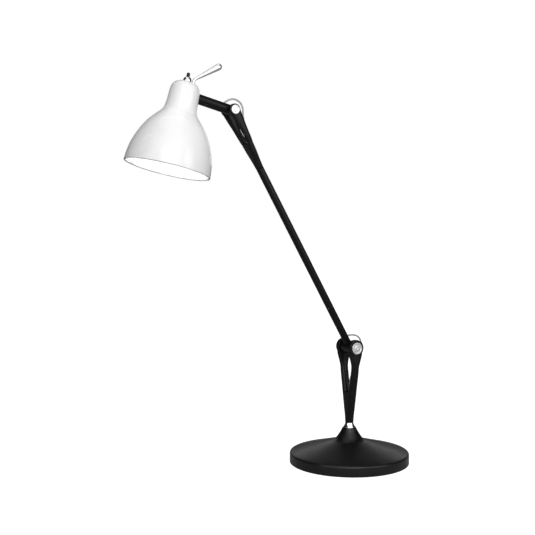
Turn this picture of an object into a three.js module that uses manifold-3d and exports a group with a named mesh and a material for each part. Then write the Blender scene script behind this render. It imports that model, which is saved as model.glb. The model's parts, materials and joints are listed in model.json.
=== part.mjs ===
// Architect desk lamp: a weighted round base, two forked friction elbows, a side-entry
// opal glass shade. Millimetres, +Z up. The origin is the centre of the base's underside,
// the arms lie in the XZ plane, the elbows turn about Y and the shade hangs toward -X.
import * as THREE from 'three';
import { mergeVertices } from 'three/addons/utils/BufferGeometryUtils.js';
import Module from 'manifold-3d';

const wasm = await Module();
wasm.setup();

// ---- Driving dimensions ----------------------------------------------------------------

const GAP = 0.3; // between pieces that touch
const BASE_R = 120;
const BASE_RIM_TOP = 20.9; // top of the base's rounded edge
const BASE_EDGE_R = 3;
const BASE_UNDERSIDE = 0.3; // the steel edge stays this far off the table
const PAD_TOP = 2.6;
const BALLAST = { bottom: 3, top: 17, r: 112, hole: 16 };
const PILLAR_ANGLES = [90, 210, 330]; // pillars that the ballast screws bite into
const PILLAR_CIRCLE_R = 82;
const PILLAR_TOP = 30;
const INLET_R = 4.6;
const INLET_Z = 9.5;
const NECK_TOP = 71.2;
const NECK_TOP_R = 12.3;
const NECK_BORE_R = 7.7;
const NECK_SEAT = 45.6; // where the swivel's washer bears, inside the base
const COLLAR_TOP = 80.6;
const STEM_R = 7.8;
const STEM_FOOT = COLLAR_TOP + GAP;
const SPIGOT_R = 5;
const CABLE_R = 1.6;
const CABLE_CLEARANCE = 0.6;
const CABLE_BORE_R = CABLE_R + CABLE_CLEARANCE;

const LOWER_ELBOW_Z = 233.7;
const MAIN_ARM_LEAN = 30.32; // degrees from upright toward -X
const MAIN_ARM_LENGTH = 531.1; // elbow to elbow
const MAIN_TUBE = { r: 7.25, wall: 1.5 };
const SHORT_ARM_RISE = 14.36; // degrees above the horizontal
const SHORT_TUBE = { r: 9.35, wall: 1.5 };
const SHADE_AXIS_AT = 96.7; // from the upper elbow, along the short arm
const ARM_ABOVE_RIM = 139.8; // height of the short arm's axis over the shade's rim

// Each elbow: eye plates outside, a barrel between them, one bolt and two domed caps.
const LOWER_ELBOW = {
  eyeR: 16, eyeIn: 15.5, eyeOut: 25.5, barrelR: 13.5, boltR: 4, capR: 11.7, capFace: 27.2,
};
const UPPER_ELBOW = {
  eyeR: 10.9, eyeIn: 11.5, eyeOut: 19.3, barrelR: 9.6, boltR: 3, capR: 8.3, capFace: 20.9,
};
const WASHER_THICKNESS = 0.8;
const CAP_SEAT_DEPTH = 1;
const PRONG_ROOT = 10; // how far the prongs reach down into the stem
const PRONG_ROOT_INSET = 1.5;

// Fork stations along the arm, measured from the elbow's axis. out: a prong's centre from
// the arms' plane; thick, wide: a prong's half-sizes along Y and X.
const LOWER_FORK = {
  crotch: -90,
  stations: [
    { at: STEM_FOOT - LOWER_ELBOW_Z, out: 0, thick: STEM_R, wide: STEM_R },
    { at: -138, out: 1.9, thick: 7.2, wide: 7.8 },
    { at: -125, out: 4.4, thick: 6.7, wide: 7.8 },
    { at: -100, out: 8.7, thick: 6.2, wide: 7.8 },
    { at: -76, out: 13.1, thick: 6, wide: 7.8 },
    { at: -52, out: 17.7, thick: 5.9, wide: 7.8 },
    { at: -38, out: 19.6, thick: 5.6, wide: 7.9 },
    { at: -28, out: 20.5, thick: 5.2, wide: 10.2 },
    { at: -16, out: 20.5, thick: 4.8, wide: 13.3 },
    { at: -9, out: 20.5, thick: 4.7, wide: 14.8 },
    { at: 0, out: 20.5, thick: 4.7, wide: 15.5 },
  ],
};
const UPPER_FORK_FOOT = -122;
const UPPER_FORK = {
  crotch: -65,
  stations: [
    { at: UPPER_FORK_FOOT, out: 0, thick: MAIN_TUBE.r, wide: MAIN_TUBE.r },
    { at: -105, out: 3.1, thick: 6.6, wide: 6.9 },
    { at: -88, out: 7.1, thick: 5.9, wide: 6.6 },
    { at: -71, out: 11, thick: 4.2, wide: 6.3 },
    { at: -54, out: 13.9, thick: 3.7, wide: 6.4 },
    { at: -38, out: 15, thick: 3.6, wide: 7.2 },
    { at: -21, out: 15.4, thick: 3.7, wide: 9 },
    { at: -9, out: 15.4, thick: 3.6, wide: 10.1 },
    { at: 0, out: 15.4, thick: 3.6, wide: 10.4 },
  ],
};

// The flex that bridges each elbow, as [x, z] from the elbow's axis in the arms' plane. It
// runs from inside the upper tube, out through the tube's back and over the barrel, down
// behind it and into the fork's crotch.
const LOWER_LOOP = [
  [-24.7, 42.3], [-18.8, 32.2], [-15, 26.8], [-10.4, 24.2], [-4.4, 23.6], [3, 24],
  [10.4, 23.4], [17, 21.2], [22.6, 17], [26.6, 10.6], [28.2, 2.6], [27, -8], [22.6, -21],
  [16.2, -35], [9.2, -48], [3.6, -60], [0.9, -72], [0, -86], [0, -102], [0, -118], [0, -134],
];
const UPPER_LOOP = [
  [-43.6, 11.2], [-33, 8.5], [-25.4, 7.4], [-19, 9.2], [-13.2, 12.8], [-7.6, 16.6],
  [-2, 19.1], [4.2, 20.4], [10.6, 19.7], [16.6, 17.2], [21.6, 12.8], [24.7, 7.2],
  [25.8, 0.4], [26.2, -8], [27.8, -20.6], [30.2, -33.4], [32.3, -46], [33.6, -57],
  [37.2, -66], [43, -74.4], [50, -85.5], [57.5, -98.3],
];
const LOWER_LOOP_END = -134; // where each loop ends, along its fork from the elbow
const UPPER_LOOP_END = -113.9;

// Opal glass, as [height over the rim, radius], up to where the shoulder starts.
const SHADE_OUTLINE = [
  [0, 79], [12, 78.3], [26, 76.2], [40, 72.7], [54, 67.5], [68, 60.7], [80, 53.3],
  [90, 45.3], [98, 38.3], [104, 33.2], [111, 30.2], [143, 27.6],
];
const SHADE_TOP = 163;
const SHADE_SHOULDER = { from: 143, r: 27.6, squareness: 0.62 };
const SHADE_INSIDE = [
  [0, 76], [26, 73.1], [52, 65.1], [76, 52.7], [90, 41.9], [105, 29.6], [113, 26.9],
  [146, 24.4], [153, 22.2], [157.4, 17], [160, 5.2],
];
const SWITCH_HOLE_R = 5.2;
const TUBE_END_X = 13; // where the short tube stops, from the shade's axis

// The switch and the handle on top of the shade. Heights called s are over the shade's rim.
const SWITCH_PIVOT_S = 163;
const LEVER_REST_TILT = -3; // degrees, away from the elbow
const HANDLE_AT = 12.4; // handle's foot, from the shade's axis toward the elbow
const HANDLE_STEM_R = 1.7; // through the glass
const HANDLE_ROD_R = 2.6; // above it
const HANDLE_TIP_R = 6.2;
const HANDLE_FOOT_S = 163.2;
const HANDLE_LINE = [
  [HANDLE_AT, HANDLE_FOOT_S], [HANDLE_AT, 166.6], [13.2, 170.3], [15.8, 173.9], [24, 181.3],
  [36, 192.1], [48, 203], [58.6, 212.6],
];

// ---- Finishes --------------------------------------------------------------------------

function finish(color, roughness, metalness) {
  return new THREE.MeshStandardMaterial({ color, roughness, metalness });
}

const BLACK_PAINT = finish(0x141414, 0.45, 0.1);
const CHROME = finish(0xe6e6e8, 0.08, 1);
const STEEL = finish(0xa8a8a8, 0.35, 1);
const BRASS = finish(0xb89a56, 0.35, 1);
const CAST_IRON = finish(0x3c3c3e, 0.7, 0.6);
const RUBBER = finish(0x1c1c1c, 0.85, 0);
const CABLE_SKIN = finish(0xd8d8d4, 0.35, 0);
const OPAL_GLASS = finish(0xf8f8f6, 0.12, 0);
const BULB_GLASS = finish(0xfff6e6, 0.2, 0);
const BLACK_PLASTIC = finish(0x101010, 0.3, 0);
const CREAM_PLASTIC = finish(0xe8e4da, 0.4, 0);

// ---- Shape helpers ---------------------------------------------------------------------

// Merges shared corners, drops slivers and turns the faces outward.
function closed(source) {
  const bare = source.index ? source.toNonIndexed() : source.clone();
  for (const name of Object.keys(bare.attributes)) {
    if (name !== 'position') {
      bare.deleteAttribute(name);
    }
  }
  bare.clearGroups();
  const merged = mergeVertices(bare, 1e-4);
  const index = merged.index.array;
  const kept = [];
  for (let i = 0; i < index.length; i += 3) {
    const [a, b, c] = [index[i], index[i + 1], index[i + 2]];
    if (a !== b && b !== c && c !== a) {
      kept.push(a, b, c);
    }
  }
  if (signedVolume(merged.attributes.position, kept) < 0) {
    kept.reverse();
  }
  merged.setIndex(kept);
  return merged;
}

function signedVolume(position, index) {
  const [a, b, c] = [new THREE.Vector3(), new THREE.Vector3(), new THREE.Vector3()];
  let sum = 0;
  for (let i = 0; i < index.length; i += 3) {
    a.fromBufferAttribute(position, index[i]);
    b.fromBufferAttribute(position, index[i + 1]);
    c.fromBufferAttribute(position, index[i + 2]);
    sum += a.dot(b.cross(c));
  }
  return sum / 6;
}

function toManifold(geometry) {
  const shape = closed(geometry);
  return new wasm.Manifold(new wasm.Mesh({
    numProp: 3,
    vertProperties: new Float32Array(shape.attributes.position.array),
    triVerts: new Uint32Array(shape.index.array),
  }));
}

function fromManifold(manifold) {
  const mesh = manifold.getMesh();
  const geometry = new THREE.BufferGeometry();
  geometry.setAttribute('position', new THREE.BufferAttribute(mesh.vertProperties, 3));
  geometry.setIndex(new THREE.BufferAttribute(mesh.triVerts, 1));
  return geometry;
}

function cut(body, ...tools) {
  return fromManifold(tools.reduce((left, tool) => left.subtract(toManifold(tool)), toManifold(body)));
}

function join(...bodies) {
  return fromManifold(bodies.map(toManifold).reduce((sum, next) => sum.add(next)));
}

// Solid of revolution about Z from [radius, height] points.
function turned(profile, segments = 24) {
  const points = profile.map(([r, z]) => new THREE.Vector2(r, z));
  return new THREE.LatheGeometry(points, segments).rotateX(Math.PI / 2);
}

// Solid or hollow cylinder on the Z axis.
function rod(radius, from, to, segments = 24, bore = 0) {
  if (bore === 0) {
    return turned([[0, from], [radius, from], [radius, to], [0, to]], segments);
  }
  return turned([[bore, from], [radius, from], [radius, to], [bore, to], [bore, from]], segments);
}

// The same cylinder laid on the Y axis or the X axis.
function rodY(radius, from, to, segments = 24, bore = 0) {
  return rod(radius, from, to, segments, bore).rotateX(-Math.PI / 2);
}

function rodX(radius, from, to, segments = 24, bore = 0) {
  return rod(radius, from, to, segments, bore).rotateY(Math.PI / 2);
}

function hexNut(radius, from, to, bore) {
  return cut(rod(radius, from, to, 6), rod(bore, from - 1, to + 1, 16));
}

// Round section swept along points; the section stays square to the route.
function swept(points, radius, sides, steps) {
  const path = new THREE.CatmullRomCurve3(points, false, 'centripetal');
  const section = new THREE.Shape();
  for (let i = 0; i < sides; i += 1) {
    const angle = (2 * Math.PI * i) / sides;
    const corner = [radius * Math.cos(angle), radius * Math.sin(angle)];
    if (i === 0) {
      section.moveTo(...corner);
    } else {
      section.lineTo(...corner);
    }
  }
  section.closePath();
  return new THREE.ExtrudeGeometry(section, { steps, extrudePath: path, bevelEnabled: false });
}

// Skin over rings of equal count, with both ends closed.
function skinned(rings) {
  const count = rings[0].length;
  const corners = rings.flat();
  const faces = [];
  for (let i = 0; i + 1 < rings.length; i += 1) {
    for (let j = 0; j < count; j += 1) {
      const a = i * count + j;
      const b = i * count + ((j + 1) % count);
      faces.push(a, b, b + count, a, b + count, a + count);
    }
  }
  const last = (rings.length - 1) * count;
  for (let j = 1; j + 1 < count; j += 1) {
    faces.push(0, j + 1, j, last, last + j, last + j + 1);
  }
  const geometry = new THREE.BufferGeometry();
  geometry.setAttribute('position', new THREE.Float32BufferAttribute(corners.flat(), 3));
  geometry.setIndex(faces);
  return geometry;
}

// Rounded-square ring in a plane of constant z: half-sizes along x and y.
function softRing(halfX, halfY, centreY, z, sides, squareness = 2.5) {
  const ring = [];
  for (let i = 0; i < sides; i += 1) {
    const angle = (2 * Math.PI * (i + 0.5)) / sides;
    const [c, s] = [Math.cos(angle), Math.sin(angle)];
    const reach = (Math.abs(c) ** squareness + Math.abs(s) ** squareness) ** (-1 / squareness);
    ring.push([halfX * reach * c, centreY + halfY * reach * s, z]);
  }
  return ring;
}

function arcPoints(centreR, centreZ, radius, fromDegrees, toDegrees, steps) {
  const points = [];
  for (let i = 0; i <= steps; i += 1) {
    const angle = THREE.MathUtils.degToRad(fromDegrees + ((toDegrees - fromDegrees) * i) / steps);
    points.push([centreR + radius * Math.cos(angle), centreZ + radius * Math.sin(angle)]);
  }
  return points;
}

function bendPoints(start, control, end, steps) {
  const curve = new THREE.QuadraticBezierCurve(
    new THREE.Vector2(...start),
    new THREE.Vector2(...control),
    new THREE.Vector2(...end),
  );
  return curve.getPoints(steps).map((p) => [p.x, p.y]);
}

// ---- Assembly helpers ------------------------------------------------------------------

function add(group, name, geometry, material, position = [0, 0, 0]) {
  const mesh = new THREE.Mesh(closed(geometry), material);
  mesh.name = name;
  mesh.position.set(...position);
  group.add(mesh);
  return mesh;
}

function frameGroup(parent, position, turnDegrees) {
  const group = new THREE.Group();
  group.position.set(...position);
  group.rotation.y = THREE.MathUtils.degToRad(turnDegrees);
  parent.add(group);
  return group;
}

// A flex route as points in a frame turned about Y by turnDegrees.
function routeInFrame(route, turnDegrees, offset = [0, 0]) {
  const back = THREE.MathUtils.degToRad(-turnDegrees);
  return route.map(([x, z]) => new THREE.Vector3(x, 0, z)
    .applyAxisAngle(new THREE.Vector3(0, 1, 0), back)
    .add(new THREE.Vector3(offset[0], 0, offset[1])));
}

// What a piece must give up so that the flex passes through it.
function cableChannel(route, turnDegrees, offset) {
  return swept(routeInFrame(route, turnDegrees, offset), CABLE_BORE_R, 8, 26);
}

// ---- Base ------------------------------------------------------------------------------

function baseCover() {
  const edge = BASE_R - BASE_EDGE_R;
  const wall = 3;
  const outside = [
    [BASE_R - wall, BASE_UNDERSIDE],
    [BASE_R, BASE_UNDERSIDE],
    ...arcPoints(edge, BASE_RIM_TOP - BASE_EDGE_R, BASE_EDGE_R, 0, 75, 3),
    [76, 32.8],
    ...bendPoints([33.5, 44.6], [26.3, 46.7], [21.5, 55.2], 4),
    [NECK_TOP_R, NECK_TOP],
  ];
  const inside = [
    [NECK_BORE_R, NECK_TOP],
    [NECK_BORE_R, NECK_SEAT],
    [17, NECK_SEAT],
    [30, NECK_SEAT - 4.2],
    [76, 29.3],
    [BASE_R - wall, BASE_RIM_TOP - wall],
    [BASE_R - wall, BASE_UNDERSIDE],
  ];
  const shell = turned([...outside, ...inside], 36);
  const pillars = PILLAR_ANGLES.map((degrees) => {
    const pillar = rod(5, BALLAST.top + GAP, PILLAR_TOP, 10, 2.6);
    return atAngle(pillar, PILLAR_CIRCLE_R, degrees);
  });
  const inlet = rodX(INLET_R + GAP, BASE_R - 10, BASE_R + 5, 16).translate(0, 0, INLET_Z);
  return cut(join(shell, ...pillars), inlet);
}

function atAngle(geometry, radius, degrees) {
  return geometry.translate(radius, 0, 0).rotateZ(THREE.MathUtils.degToRad(degrees));
}

function ballastDisc() {
  const { bottom, top, r, hole } = BALLAST;
  const disc = rod(r, bottom, top, 40, hole);
  const channel = new THREE.BoxGeometry(r, 8, INLET_Z + 5 - bottom)
    .translate(r / 2 + 5, 0, (INLET_Z + 5 + bottom) / 2 - 0.5);
  const screwHoles = PILLAR_ANGLES.flatMap((degrees) => [
    atAngle(rod(5.2, bottom - 1, bottom + 4.2, 10), PILLAR_CIRCLE_R, degrees),
    atAngle(rod(2.9, bottom, top + 1, 10), PILLAR_CIRCLE_R, degrees),
  ]);
  return cut(disc, channel, ...screwHoles);
}

function ballastScrew(degrees) {
  const head = [[0, BALLAST.bottom + 0.2], [4.6, BALLAST.bottom + 0.2], [4.6, BALLAST.bottom + 3.9]];
  const shank = [[2.2, BALLAST.bottom + 3.9], [2.2, BALLAST.top + 8], [0, BALLAST.top + 8]];
  return atAngle(turned([...head, ...shank], 10), PILLAR_CIRCLE_R, degrees);
}

function cableInlet() {
  const flange = rodX(6.4, BASE_R - 5.4, BASE_R - 3.9, 16, 3.1);
  const sleeve = rodX(INLET_R, BASE_R - 4.4, BASE_R - 0.5, 16, 3.1);
  return join(flange, sleeve).translate(0, 0, INLET_Z);
}

function buildBase(lamp) {
  add(lamp, 'foot_pad', rod(114, 0, PAD_TOP, 40), RUBBER);
  add(lamp, 'ballast_disc', ballastDisc(), CAST_IRON);
  add(lamp, 'base_cover', baseCover(), BLACK_PAINT);
  PILLAR_ANGLES.forEach((degrees, i) => {
    add(lamp, `ballast_screw_${i + 1}`, ballastScrew(degrees), STEEL);
  });
  add(lamp, 'cable_inlet', cableInlet(), RUBBER);
  add(lamp, 'neck_bush', rod(NECK_BORE_R - GAP, NECK_SEAT + 1, NECK_TOP - 0.5, 20, SPIGOT_R + GAP), BRASS);
  const collar = [[SPIGOT_R + GAP, NECK_TOP + GAP], [NECK_TOP_R - 0.2, NECK_TOP + GAP],
    [9.6, 75.9], [STEM_R, COLLAR_TOP], [SPIGOT_R + GAP, COLLAR_TOP], [SPIGOT_R + GAP, NECK_TOP + GAP]];
  add(lamp, 'neck_collar', turned(collar, 32), CHROME);
  const inside = [
    [0, 0, LOWER_ELBOW_Z + LOWER_LOOP_END - GAP], [0, 0, 70], [0, 0, 40],
    [0.8, 0, 27], [5, 0, 16.5], [14, 0, 11], [28, 0, INLET_Z], [60, 0, INLET_Z],
    [BASE_R - 6, 0, INLET_Z],
  ];
  const route = inside.map((p) => new THREE.Vector3(...p));
  add(lamp, 'base_lead', swept(route, CABLE_R, 8, 24), CABLE_SKIN);
}

// ---- Forks and elbows ------------------------------------------------------------------

// Body of a fork on the Z axis with the elbow's axis at z = 0: a stem that widens to the
// crotch, two prongs and a round eye plate on each.
function forkBody(fork, elbow) {
  const sides = 12;
  const top = blendStation(fork.stations, fork.crotch);
  const stemStations = [...fork.stations.filter((station) => station.at < fork.crotch), top];
  const stemRings = stemStations.map(({ at, out, thick, wide }) => (
    softRing(wide, out + thick, 0, at, sides, out === 0 ? 2 : 2.4)
  ));
  const root = shrunk(blendStation(fork.stations, fork.crotch - PRONG_ROOT), PRONG_ROOT_INSET);
  const prongStations = [root, shrunk(top, 0.15)].concat(
    fork.stations.filter((station) => station.at > fork.crotch + 1),
  );
  const parts = [skinned(stemRings)];
  for (const side of [-1, 1]) {
    const rings = prongStations.map(({ at, out, thick, wide }) => (
      softRing(wide, thick, side * out, at, sides)
    ));
    parts.push(skinned(rings));
    const from = side > 0 ? elbow.eyeIn : -elbow.eyeOut;
    parts.push(rodY(elbow.eyeR, from, from + elbow.eyeOut - elbow.eyeIn, 28));
  }
  const length = elbow.eyeOut + 5;
  const boltHole = rodY(elbow.boltR + GAP, -length, length, 16);
  const capSeats = [-1, 1].map((side) => {
    const from = side > 0 ? elbow.eyeOut - CAP_SEAT_DEPTH : -elbow.eyeOut - 5;
    return rodY(elbow.capR + GAP, from, from + 5 + CAP_SEAT_DEPTH, 20);
  });
  return cut(join(...parts), boltHole, ...capSeats);
}

function shrunk({ at, out, thick, wide }, inset) {
  return { at, out, thick: thick - inset, wide: wide - inset };
}

// Station at a height between two listed ones.
function blendStation(stations, at) {
  const next = stations.findIndex((s) => s.at >= at);
  const [a, b] = [stations[next - 1], stations[next]];
  const t = (at - a.at) / (b.at - a.at);
  const mix = (key) => a[key] + t * (b[key] - a[key]);
  return { at, out: mix('out'), thick: mix('thick'), wide: mix('wide') };
}

// Flat cap with a bevelled edge and a sunk middle, its face outward on +Y.
function elbowCap(elbow) {
  const back = elbow.eyeOut - CAP_SEAT_DEPTH + GAP;
  const face = elbow.capFace;
  const profile = [[0, back], [elbow.capR, back], [elbow.capR, face - 0.8],
    [elbow.capR - 0.8, face], [elbow.capR * 0.74, face], [elbow.capR * 0.7, face - 0.7],
    [0, face - 0.7]];
  return turned(profile, 20).rotateX(-Math.PI / 2);
}

function addElbowHardware(group, prefix, elbow) {
  const boltReach = elbow.eyeOut - CAP_SEAT_DEPTH - GAP;
  add(group, `${prefix}_pivot_bolt`, rodY(elbow.boltR, -boltReach, boltReach, 16), STEEL);
  const washer = rodY(elbow.barrelR - 1, elbow.eyeIn - GAP - WASHER_THICKNESS, elbow.eyeIn - GAP, 16,
    elbow.boltR + GAP);
  add(group, `${prefix}_washer_far`, washer, BRASS);
  add(group, `${prefix}_washer_near`, washer.clone().rotateZ(Math.PI), BRASS);
  add(group, `${prefix}_cap_far`, elbowCap(elbow), CHROME);
  add(group, `${prefix}_cap_near`, elbowCap(elbow).rotateZ(Math.PI), CHROME);
}

function barrelReach(elbow) {
  return elbow.eyeIn - WASHER_THICKNESS - 2 * GAP;
}

function buildLowerArm(lamp) {
  const group = frameGroup(lamp, [0, 0, LOWER_ELBOW_Z], 0);
  const foot = STEM_FOOT - LOWER_ELBOW_Z;
  const stemBore = rod(SPIGOT_R + GAP, foot - 1, foot + 16, 20);
  const cableBore = rod(CABLE_BORE_R + GAP, foot, LOWER_LOOP_END + 10, 12);
  const body = cut(forkBody(LOWER_FORK, LOWER_ELBOW), stemBore, cableBore, cableChannel(LOWER_LOOP, 0));
  add(group, 'lower_fork', body, BLACK_PAINT);
  addElbowHardware(group, 'lower', LOWER_ELBOW);
  const pin = rod(SPIGOT_R, 36, STEM_FOOT + 15.5, 20, CABLE_BORE_R);
  add(lamp, 'swivel_spigot', pin, STEEL);
  const washer = rod(15, NECK_SEAT - 2.1, NECK_SEAT - GAP, 20, SPIGOT_R + GAP);
  add(lamp, 'spigot_washer', washer, BRASS);
  const nut = hexNut(9, NECK_SEAT - 8.4, NECK_SEAT - 2.4, SPIGOT_R + GAP);
  add(lamp, 'spigot_nut', nut, STEEL);
  return group;
}

// ---- Main arm --------------------------------------------------------------------------

function buildMainArm(lowerArm) {
  const group = frameGroup(lowerArm, [0, 0, 0], -MAIN_ARM_LEAN);
  const elbow = LOWER_ELBOW;
  const reach = barrelReach(elbow);
  const tubeFoot = 7.4;
  const tubeTop = MAIN_ARM_LENGTH + UPPER_FORK_FOOT - GAP;
  const innerR = MAIN_TUBE.r - MAIN_TUBE.wall;
  const barrel = cut(
    rodY(elbow.barrelR, -reach, reach, 32),
    rodY(elbow.boltR + GAP, -reach - 1, reach + 1, 16),
    rod(MAIN_TUBE.r + GAP, tubeFoot - GAP, elbow.barrelR + 2, 24),
  );
  add(group, 'lower_barrel', barrel, BLACK_PAINT);
  const lowerChannel = cableChannel(LOWER_LOOP, -MAIN_ARM_LEAN);
  const tube = cut(rod(MAIN_TUBE.r, tubeFoot, tubeTop, 24, innerR), lowerChannel);
  add(group, 'main_tube', tube, BLACK_PAINT);

  const top = [0, MAIN_ARM_LENGTH];
  const upper = frameGroup(group, [0, 0, MAIN_ARM_LENGTH], 0);
  const spigotFoot = UPPER_FORK_FOOT - 26;
  const spigot = rod(innerR - GAP, spigotFoot, UPPER_FORK_FOOT + 2, 20);
  const cableBore = rod(CABLE_BORE_R + GAP, spigotFoot - 1, UPPER_LOOP_END + 10, 12);
  const body = cut(
    join(forkBody(UPPER_FORK, UPPER_ELBOW), spigot),
    cableBore,
    cableChannel(UPPER_LOOP, -MAIN_ARM_LEAN),
  );
  add(upper, 'upper_fork', body, BLACK_PAINT);
  addElbowHardware(upper, 'upper', UPPER_ELBOW);

  const loopFoot = routeInFrame(UPPER_LOOP, -MAIN_ARM_LEAN, top).pop();
  const loopHead = routeInFrame(LOWER_LOOP, -MAIN_ARM_LEAN).shift();
  const lead = rod(CABLE_R, loopHead.z + 1, loopFoot.z - 1, 8);
  add(group, 'main_arm_lead', lead, CABLE_SKIN);
  return upper;
}

// ---- Short arm: X runs from the shade toward the elbow, Z square to the arm -------------

function buildShortArm(upper) {
  const group = frameGroup(upper, [0, 0, 0], MAIN_ARM_LEAN + SHORT_ARM_RISE);
  const elbow = UPPER_ELBOW;
  const reach = barrelReach(elbow);
  const innerR = SHORT_TUBE.r - SHORT_TUBE.wall;
  const channel = cableChannel(UPPER_LOOP, SHORT_ARM_RISE);
  const spigot = rodX(innerR - GAP, -30, -4, 24);
  const barrel = cut(
    join(rodY(elbow.barrelR, -reach, reach, 28), spigot),
    rodY(elbow.boltR + GAP, -reach - 1, reach + 1, 16),
    channel,
  );
  add(group, 'upper_barrel', barrel, BLACK_PAINT);
  const tubeEnd = -SHADE_AXIS_AT + TUBE_END_X;
  const tube = cut(
    rodX(SHORT_TUBE.r, tubeEnd, 0, 28, innerR),
    rodY(elbow.barrelR + GAP, -elbow.eyeIn, elbow.eyeIn, 28),
    channel,
  );
  add(group, 'short_tube', tube, BLACK_PAINT);
  const loopHead = routeInFrame(UPPER_LOOP, SHORT_ARM_RISE)[0];
  add(group, 'short_arm_lead', rodX(CABLE_R, tubeEnd + 2, loopHead.x - 1, 8), CABLE_SKIN);
  const retainer = rodX(SHORT_TUBE.r + 1.4, tubeEnd + 4.6, tubeEnd + 6, 20, SHORT_TUBE.r + GAP);
  add(group, 'tube_retainer', retainer, STEEL);
  return group;
}

// ---- Head: Z is the shade's axis, its heights are s over the rim ------------------------

function s(height) {
  return height - ARM_ABOVE_RIM;
}

function shadeGlass() {
  const { from, r, squareness } = SHADE_SHOULDER;
  const shoulder = [];
  const steps = 5;
  for (let i = 1; i <= steps; i += 1) {
    const angle = (Math.PI / 2) * (i / steps);
    const reach = r * Math.cos(angle) ** squareness;
    const height = from + (SHADE_TOP - from) * Math.sin(angle);
    shoulder.push([height, Math.max(reach, SWITCH_HOLE_R)]);
  }
  const outline = [...SHADE_OUTLINE, ...shoulder, ...SHADE_INSIDE.toReversed(), SHADE_OUTLINE[0]];
  const profile = outline.map(([height, radius]) => [radius, s(height)]);
  const sideHole = rodX(SHORT_TUBE.r + 0.8, 5, 60, 24);
  return cut(turned(profile, 36), sideHole, handleHole());
}

// Room for the handle's stem through the top of the glass and the cup.
function handleHole() {
  return rod(HANDLE_STEM_R + GAP, s(150), s(175), 12).translate(HANDLE_AT, 0, 0);
}

function innerCup() {
  const profile = [[5, s(157.4)], [19, s(154.2)], [22.4, s(148.4)], [23.4, s(143.6)],
    [23.4, s(127)], [22, s(127)], [22, s(143.6)], [21, s(148)], [18.2, s(152.6)], [5, s(155.8)],
    [5, s(157.4)]];
  const sideHole = rodX(SHORT_TUBE.r + GAP, 5, 40, 24);
  return cut(turned(profile, 28), sideHole, handleHole());
}

function switchBody() {
  const box = new THREE.BoxGeometry(11, 14, 12).translate(0, 0, s(148.2));
  const neck = rod(4.6, s(153), s(168.2), 16, 2.9);
  const bore = rod(2.9, s(152.6), s(170), 16);
  return cut(join(box, neck), bore);
}

function switchNut() {
  const foot = SHADE_TOP + GAP;
  const profile = [[4.9, s(foot)], [8.1, s(foot)], [7.7, s(167)], [6.3, s(169.8)],
    [4.5, s(171.2)], [3.6, s(171.2)], [3.6, s(168.6)], [4.9, s(168.6)], [4.9, s(foot)]];
  return turned(profile, 24);
}

// Polished handle as one skin: a thin stem through the glass, then a rod that bends back and
// swells to a round tip.
function aimingHandle() {
  const at = ([x, height]) => new THREE.Vector3(x, 0, s(height));
  const line = new THREE.CatmullRomCurve3(HANDLE_LINE.map(at), false, 'centripetal');
  const upright = new THREE.Vector3(0, 0, 1);
  const rings = [150, HANDLE_FOOT_S].map((height) => (
    ringAround(at([HANDLE_AT, height]), upright, HANDLE_STEM_R, 12)
  ));
  const swellFrom = 0.17; // shares of the line's length
  const roundFrom = 0.9;
  const steps = 20;
  for (let i = 0; i <= steps; i += 1) {
    const u = i / steps;
    const swell = THREE.MathUtils.clamp((u - swellFrom) / (roundFrom - swellFrom), 0, 1);
    const end = Math.max((u - roundFrom) / (1 - roundFrom), 0);
    const roundness = Math.sqrt(Math.max(1 - end ** 2, 0.03));
    const radius = (HANDLE_ROD_R + (HANDLE_TIP_R - HANDLE_ROD_R) * swell) * roundness;
    rings.push(ringAround(line.getPointAt(u), line.getTangentAt(u), radius, 12));
  }
  return skinned(rings);
}

function ringAround(centre, tangent, radius, sides) {
  const side = new THREE.Vector3(0, 1, 0);
  const up = new THREE.Vector3().crossVectors(tangent, side);
  const ring = [];
  for (let j = 0; j < sides; j += 1) {
    const angle = (2 * Math.PI * j) / sides;
    const corner = centre.clone()
      .addScaledVector(side, radius * Math.cos(angle))
      .addScaledVector(up, radius * Math.sin(angle));
    ring.push(corner.toArray());
  }
  return ring;
}

function lampholder() {
  const profile = [[14.6, s(96)], [19.6, s(96)], [20.4, s(102)], [20.4, s(121)], [17, s(126)],
    [5, s(126)], [5, s(123)], [14.6, s(123)], [14.6, s(96)]];
  return turned(profile, 28);
}

function bulbGlobe() {
  const neckR = 12.4;
  const centre = 66;
  const radius = 23;
  const ball = arcPoints(0, s(centre), radius, -90, 50, 9);
  return turned([...ball, [neckR, s(90)], [neckR, s(94.6)], [0, s(94.6)]], 20);
}

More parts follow.
